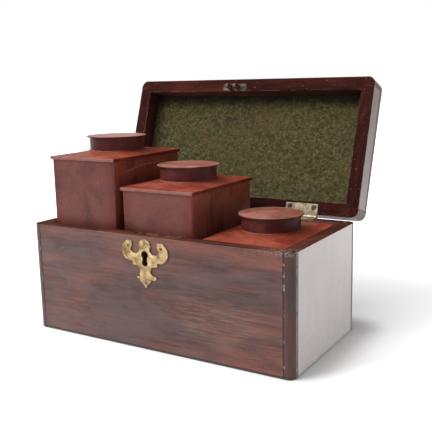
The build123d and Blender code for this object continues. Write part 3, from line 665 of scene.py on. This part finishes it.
# Metalwork
plate_brass = aged_metal("plate_brass", (0.185, 0.120, 0.052), (0.420, 0.295, 0.140),
                         (0.600, 0.450, 0.240), 0.46, 0.7)
nail_brass = aged_metal("nail_brass", (0.05, 0.034, 0.020), (0.11, 0.078, 0.042),
                        (0.20, 0.145, 0.080), 0.5, 0.7)
hinge_brass = aged_metal("hinge_brass", (0.13, 0.105, 0.066), (0.25, 0.205, 0.130),
                         (0.38, 0.325, 0.220), 0.45, 0.75)
lock_brass = aged_metal("lock_brass", (0.022, 0.011, 0.006), (0.075, 0.037, 0.016),
                        (0.165, 0.090, 0.042), 0.7, 0.05, 0.05)
keep_brass = aged_metal("keep_brass", (0.035, 0.020, 0.015), (0.085, 0.052, 0.038),
                        (0.165, 0.115, 0.085), 0.6, 0.2, 0.15)
iron = aged_metal("iron", (0.020, 0.015, 0.012), (0.045, 0.034, 0.027),
                  (0.08, 0.065, 0.052), 0.5, 0.7)
steel = aged_metal("steel", (0.12, 0.11, 0.10), (0.22, 0.21, 0.19),
                   (0.32, 0.31, 0.29), 0.4, 0.9)

softened("key_plate", plate_brass, KEY_PLATE_ARRIS, KEY_PLATE_SHORTEST)
for node in nodes:
    if node == "key_plate_nails":
        finish_node(node, nail_brass)
    elif node == "lock_case":
        finish_node(node, lock_brass)
    elif node == "keep_plate":
        finish_node(node, keep_brass)
    elif node.endswith("screws"):
        finish_node(node, iron)
    elif "hinge" in node:
        finish_node(node, hinge_brass)
    elif node in ("lock_bolt", "lock_spring", "lock_key_pin"):
        finish_node(node, steel)

# Canisters
BODY_SHADES = ((0.066, 0.010, 0.008), (0.118, 0.019, 0.013), (0.165, 0.036, 0.026))
TOP_SHADES = ((0.120, 0.017, 0.009), (0.200, 0.033, 0.017), (0.300, 0.080, 0.050))
SKIRT_SHADES = ((0.045, 0.008, 0.007), (0.080, 0.014, 0.012), (0.120, 0.030, 0.026))
DISC_SHADES = ((0.160, 0.050, 0.036), (0.260, 0.092, 0.068), (0.340, 0.150, 0.118))
# A painted highlight for the tin tops' front hems
HEM_PAINTED_HIGHLIGHT = (0.260, 0.130, 0.112)

# A scratch on the left tin's right side, through these (y, z) points
LEFT_SCRATCH = ((-0.0331, 0.1423), (-0.0045, 0.1460), (0.0262, 0.1463))

for number, side in enumerate(("left", "middle", "right")):
    front_paint = painted_tin(
        side + "_tin", 20.0 + 3 * number, BODY_SHADES, 0.22, 0.05,
        body_box=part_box(side + "_canister_body"),
        scratches=zip(LEFT_SCRATCH, LEFT_SCRATCH[1:]) if side == "left" else (),
    )
    top_paint = painted_tin(
        side + "_tin_top", 30.0 + 3 * number, TOP_SHADES, 0.06, 0.0, hem_highlight=HEM_PAINTED_HIGHLIGHT
    )
    cap_paint = painted_tin(
        side + "_tin_cap", 40.0 + 3 * number, SKIRT_SHADES, 0.14, 0.0, disc=DISC_SHADES
    )
    finish_node(side + "_canister_body", front_paint)
    finish_node(side + "_canister_base", front_paint)
    finish_node(side + "_canister_top", top_paint)
    finish_node(side + "_canister_collar", top_paint)
    finish_node(side + "_canister_cap", cap_paint)


# Baize, on the closed lid: its stain and painted rail shadow, its surface and its loose fibres
STAIN_MIDDLE = (-0.022, -0.0275)
STAIN_STRETCH = 0.45
STAIN_SHADE = (0.030, 0.019, 0.014)
RAIL_SHADOW_SHADE = (0.012, 0.012, 0.006)
STAIN_REACH = (0.8 * MM, 5.0 * MM)
RAIL_SHADOW_REACH = (1 * MM, 14 * MM)
SHEET_STEP = 1.6 * MM
SHEET_LIFT = 0.25 * MM
WAVE_HEIGHT = 0.25 * MM
WAVES_PER_M = 60
TUFT_HEIGHT = 0.12 * MM
TUFTS_PER_M = 700
FIBRE_COUNT = 16000
FIBRE_MARGIN = 1.5 * MM
FIBRE_LIFT = 0.30 * MM
FIBRE_TURN = (0.15, 0.5)
FIBRE_LENGTH_MM = (0.8, 2.4)
FIBRE_HALF_WIDTH_MM = (0.04, 0.09)
FIBRE_RISE_MM = (0.15, 0.45)


def cloth_marks(g, colour):
    """A painted shadow darkens the cloth along the lid's front rail; it is stained in one place.
    """
    low = closed_box("lid_lining")[0]
    here = g.where(lid=True)
    drift = g.noise(g.place("XYZ", (70, 120, 120), True), 4, 0.65, 0.6)
    # The painted shadow of the front rail, with an uneven edge
    edge = g.math("ADD", here[1], g.fit(drift, 0.3, 0.7, -4 * MM, 4 * MM))
    shade = g.fit(edge, low.y + RAIL_SHADOW_REACH[0], low.y + RAIL_SHADOW_REACH[1], 0.80, 0.0)
    colour = g.blend(shade, colour, RAIL_SHADOW_SHADE)
    x = g.product(g.math("SUBTRACT", here[0], STAIN_MIDDLE[0]), STAIN_STRETCH)
    y = g.math("SUBTRACT", here[1], STAIN_MIDDLE[1])
    radius = g.math("SQRT", g.math("ADD", g.product(x, x), g.product(y, y)))
    stain = g.product(g.fit(radius, *STAIN_REACH, 0.75, 0.0),
                      g.fit(drift, 0.35, 0.55, 0.4, 1.0))
    return g.blend(stain, colour, STAIN_SHADE)


def baize_material():
    """Worn green cloth in yellower and darker patches."""
    g = Graph("baize")
    cloud = g.noise(g.place("XYZ", (30, 30, 30), True), 4, 0.6, 0.4)
    tuft = g.noise(g.place("XYZ", (420, 420, 420), True), 5, 0.7, 0.6)
    weave = g.noise(g.place("XYZ", (300, 900, 900), True), 3, 0.6, 0.8)
    patch = g.noise(g.place("XYZ", (120, 230, 230), True), 5, 0.7, 0.8)
    colour = g.ramp(tuft, (0.38, (0.018, 0.016, 0.006)), (0.50, (0.058, 0.049, 0.017)),
                    (0.62, (0.145, 0.124, 0.054)))
    colour = g.blend(g.fit(weave, 0.4, 0.7, 0.0, 0.35), colour, (0.082, 0.076, 0.026))
    colour = g.blend(g.fit(patch, 0.50, 0.66, 0.0, 0.50), colour, (0.030, 0.036, 0.014))
    colour = g.blend(g.fit(patch, 0.46, 0.34, 0.0, 0.55), colour, (0.120, 0.098, 0.046))
    colour = g.blend(g.fit(cloud, 0.50, 0.72, 0.0, 0.50), colour, (0.100, 0.062, 0.030))
    return g.finish(cloth_marks(g, colour), 0.95, g.bump(tuft, 0.0008), Specular_IOR_Level=0.1,
                    Sheen_Weight=0.04, Sheen_Roughness=0.6)


def baize_sheet():
    """The cloth's surface: a gently uneven sheet in front of the lid's board."""
    low, high = closed_box("lid_lining")
    shape = bmesh.new()
    count_x = int((high.x - low.x) / SHEET_STEP)
    count_y = int((high.y - low.y) / SHEET_STEP)
    rows = []
    for j in range(count_y + 1):
        row = []
        for i in range(count_x + 1):
            x = low.x + (high.x - low.x) * i / count_x
            y = low.y + (high.y - low.y) * j / count_y
            wave = noise.fractal(Vector((x * WAVES_PER_M, y * WAVES_PER_M, 3)), 1.0, 2.0, 3)
            tuft = noise.noise(Vector((x * TUFTS_PER_M, y * TUFTS_PER_M, 9)))
            z = low.z + SHEET_LIFT + WAVE_HEIGHT * wave + TUFT_HEIGHT * tuft
            row.append(shape.verts.new(open_lid @ Vector((x, y, z))))
        rows.append(row)
    for j in range(count_y):
        for i in range(count_x):
            shape.faces.new((rows[j][i], rows[j + 1][i], rows[j + 1][i + 1], rows[j][i + 1]))
    mesh = bpy.data.meshes.new("baize_sheet")
    shape.to_mesh(mesh)
    shape.free()
    for polygon in mesh.polygons:
        polygon.use_smooth = True
    return mesh


def baize_nap():
    """Short loose fibres that lie over the baize."""
    low, high = closed_box("lid_lining")
    source = random.Random(5)
    shape = bmesh.new()
    for _ in range(FIBRE_COUNT):
        x = source.uniform(low.x + FIBRE_MARGIN, high.x - FIBRE_MARGIN)
        y = source.uniform(low.y + FIBRE_MARGIN, high.y - FIBRE_MARGIN)
        turn_by = source.gauss(*FIBRE_TURN)
        length = source.uniform(*FIBRE_LENGTH_MM) * MM
        half = source.uniform(*FIBRE_HALF_WIDTH_MM) * MM
        along = Vector((math.cos(turn_by), math.sin(turn_by), 0))
        across = Vector((-along.y, along.x, 0)) * half
        foot = Vector((x, y, low.z + FIBRE_LIFT))
        rise = Vector((0, 0, -source.uniform(*FIBRE_RISE_MM) * MM))
        middle = foot + along * length * 0.55 + rise
        tip = foot + along * length + rise * source.uniform(0.2, 1.1)
        points = [foot - across, foot + across, middle + across, middle - across, tip]
        made = [shape.verts.new(open_lid @ point) for point in points]
        shape.faces.new((made[0], made[1], made[2], made[3]))
        shape.faces.new((made[3], made[2], made[4]))
    mesh = bpy.data.meshes.new("baize_nap")
    shape.to_mesh(mesh)
    shape.free()
    return mesh


def fibre_material():
    """The loose fibres, in the cloth's shades and paler."""
    g = Graph("fibre")
    tint = g.noise(g.place("XYZ", (420, 700, 700), True), 3, 0.6)
    colour = g.ramp(tint, (0.40, (0.030, 0.028, 0.010)), (0.50, (0.088, 0.076, 0.030)),
                    (0.60, (0.210, 0.182, 0.092)))
    return g.finish(cloth_marks(g, colour), 0.9, Specular_IOR_Level=0.1)


add_piece("baize_sheet", baize_sheet(), baize_material(), "lid", "lid_lining")
add_piece("baize_nap", baize_nap(), fibre_material(), "lid", None)


# Stage and light
def plane(name, size, place):
    """A level square."""
    shape = bmesh.new()
    half = size / 2
    corners = [(-half, -half), (half, -half), (half, half), (-half, half)]
    shape.faces.new([shape.verts.new((x, y, 0)) for x, y in corners])
    mesh = bpy.data.meshes.new(name)
    shape.to_mesh(mesh)
    shape.free()
    piece = bpy.data.objects.new(name, mesh)
    piece.location = place
    bpy.context.scene.collection.objects.link(piece)
    return piece


# The floor glows to the camera, more and more from the chest's contact shadow out to white
FOOTPRINT_HALF = (0.127, 0.065)
NEAR_GLOW = (0.006, 0.036, 0.0, 0.32)
FAR_GLOW = (0.12, 0.50, 0.0, 0.70)
MIRROR_GLOW = 0.55
FLOOR_SIZE = 12.0
FLOOR_DROP = 0.05 * MM
FLOOR_SHADE = (0.86, 0.86, 0.86)

g = Graph("floor")
lit = g.add("ShaderNodeEmission")
lit.inputs["Color"].default_value = (1, 1, 1, 1)
seen = g.add("ShaderNodeLightPath")
here = g.where()
gaps = []
for i, half in enumerate(FOOTPRINT_HALF):
    past = g.math("MAXIMUM", g.math("SUBTRACT", g.math("ABSOLUTE", here[i]), half), 0.0)
    gaps.append(g.product(past, past))
distance = g.math("SQRT", g.math("ADD", *gaps))
glow = g.math("ADD", g.fit(distance, *NEAR_GLOW), g.fit(distance, *FAR_GLOW))
camera_glow = g.product(seen.outputs["Is Camera Ray"], glow)
mirror_glow = g.product(seen.outputs["Is Glossy Ray"], MIRROR_GLOW)
g.link(g.math("MAXIMUM", camera_glow, mirror_glow), lit.inputs["Strength"])
both = g.add("ShaderNodeAddShader")
g.link(g.shader.outputs[0], both.inputs[0])
g.link(lit.outputs[0], both.inputs[1])
g.link(both.outputs[0], g.output.inputs[0])
floor = plane("floor", FLOOR_SIZE, (0, 0, -FLOOR_DROP))
floor.data.materials.append(g.finish(FLOOR_SHADE, 0.9, Specular_IOR_Level=0.0))

# The world is white to the camera, a little darker in reflections and dim as a light
WORLD_LIGHT = 0.30
WORLD_SEEN = 1.0
MIRRORED_SHARE = 0.8

world = bpy.data.worlds.new("world")
bpy.context.scene.world = world
world.use_nodes = True
sky = world.node_tree.nodes["Background"]
sky.inputs["Color"].default_value = (1, 1, 1, 1)
path = world.node_tree.nodes.new("ShaderNodeLightPath")
shown = world.node_tree.nodes.new("ShaderNodeMapRange")
shown.inputs["To Min"].default_value = WORLD_LIGHT
shown.inputs["To Max"].default_value = WORLD_SEEN
mirror = world.node_tree.nodes.new("ShaderNodeMath")
mirror.operation = "MULTIPLY"
mirror.inputs[1].default_value = MIRRORED_SHARE
either = world.node_tree.nodes.new("ShaderNodeMath")
either.operation = "MAXIMUM"
for source, target in (
    (path.outputs["Is Glossy Ray"], mirror.inputs[0]),
    (path.outputs["Is Camera Ray"], either.inputs[0]),
    (mirror.outputs[0], either.inputs[1]),
    (either.outputs[0], shown.inputs["Value"]),
    (shown.outputs[0], sky.inputs["Strength"]),
):
    world.node_tree.links.new(source, target)


def lamp(name, place, aim, size, energy):
    """A square area light in a place, turned to the point it is aimed at."""
    data = bpy.data.lights.new(name, "AREA")
    data.shape = "SQUARE"
    data.size = size
    data.energy = energy
    piece = bpy.data.objects.new(name, data)
    piece.location = place
    piece.rotation_euler = (Vector(aim) - Vector(place)).to_track_quat("-Z", "Y").to_euler()
    piece.visible_camera = False
    bpy.context.scene.collection.objects.link(piece)


lamp("key", (-1.15, -1.15, 1.6), (0, 0, 0.08), 1.1, 42.0)
lamp("top", (-0.35, -0.30, 2.3), (0, 0, 0.1), 1.8, 36.0)
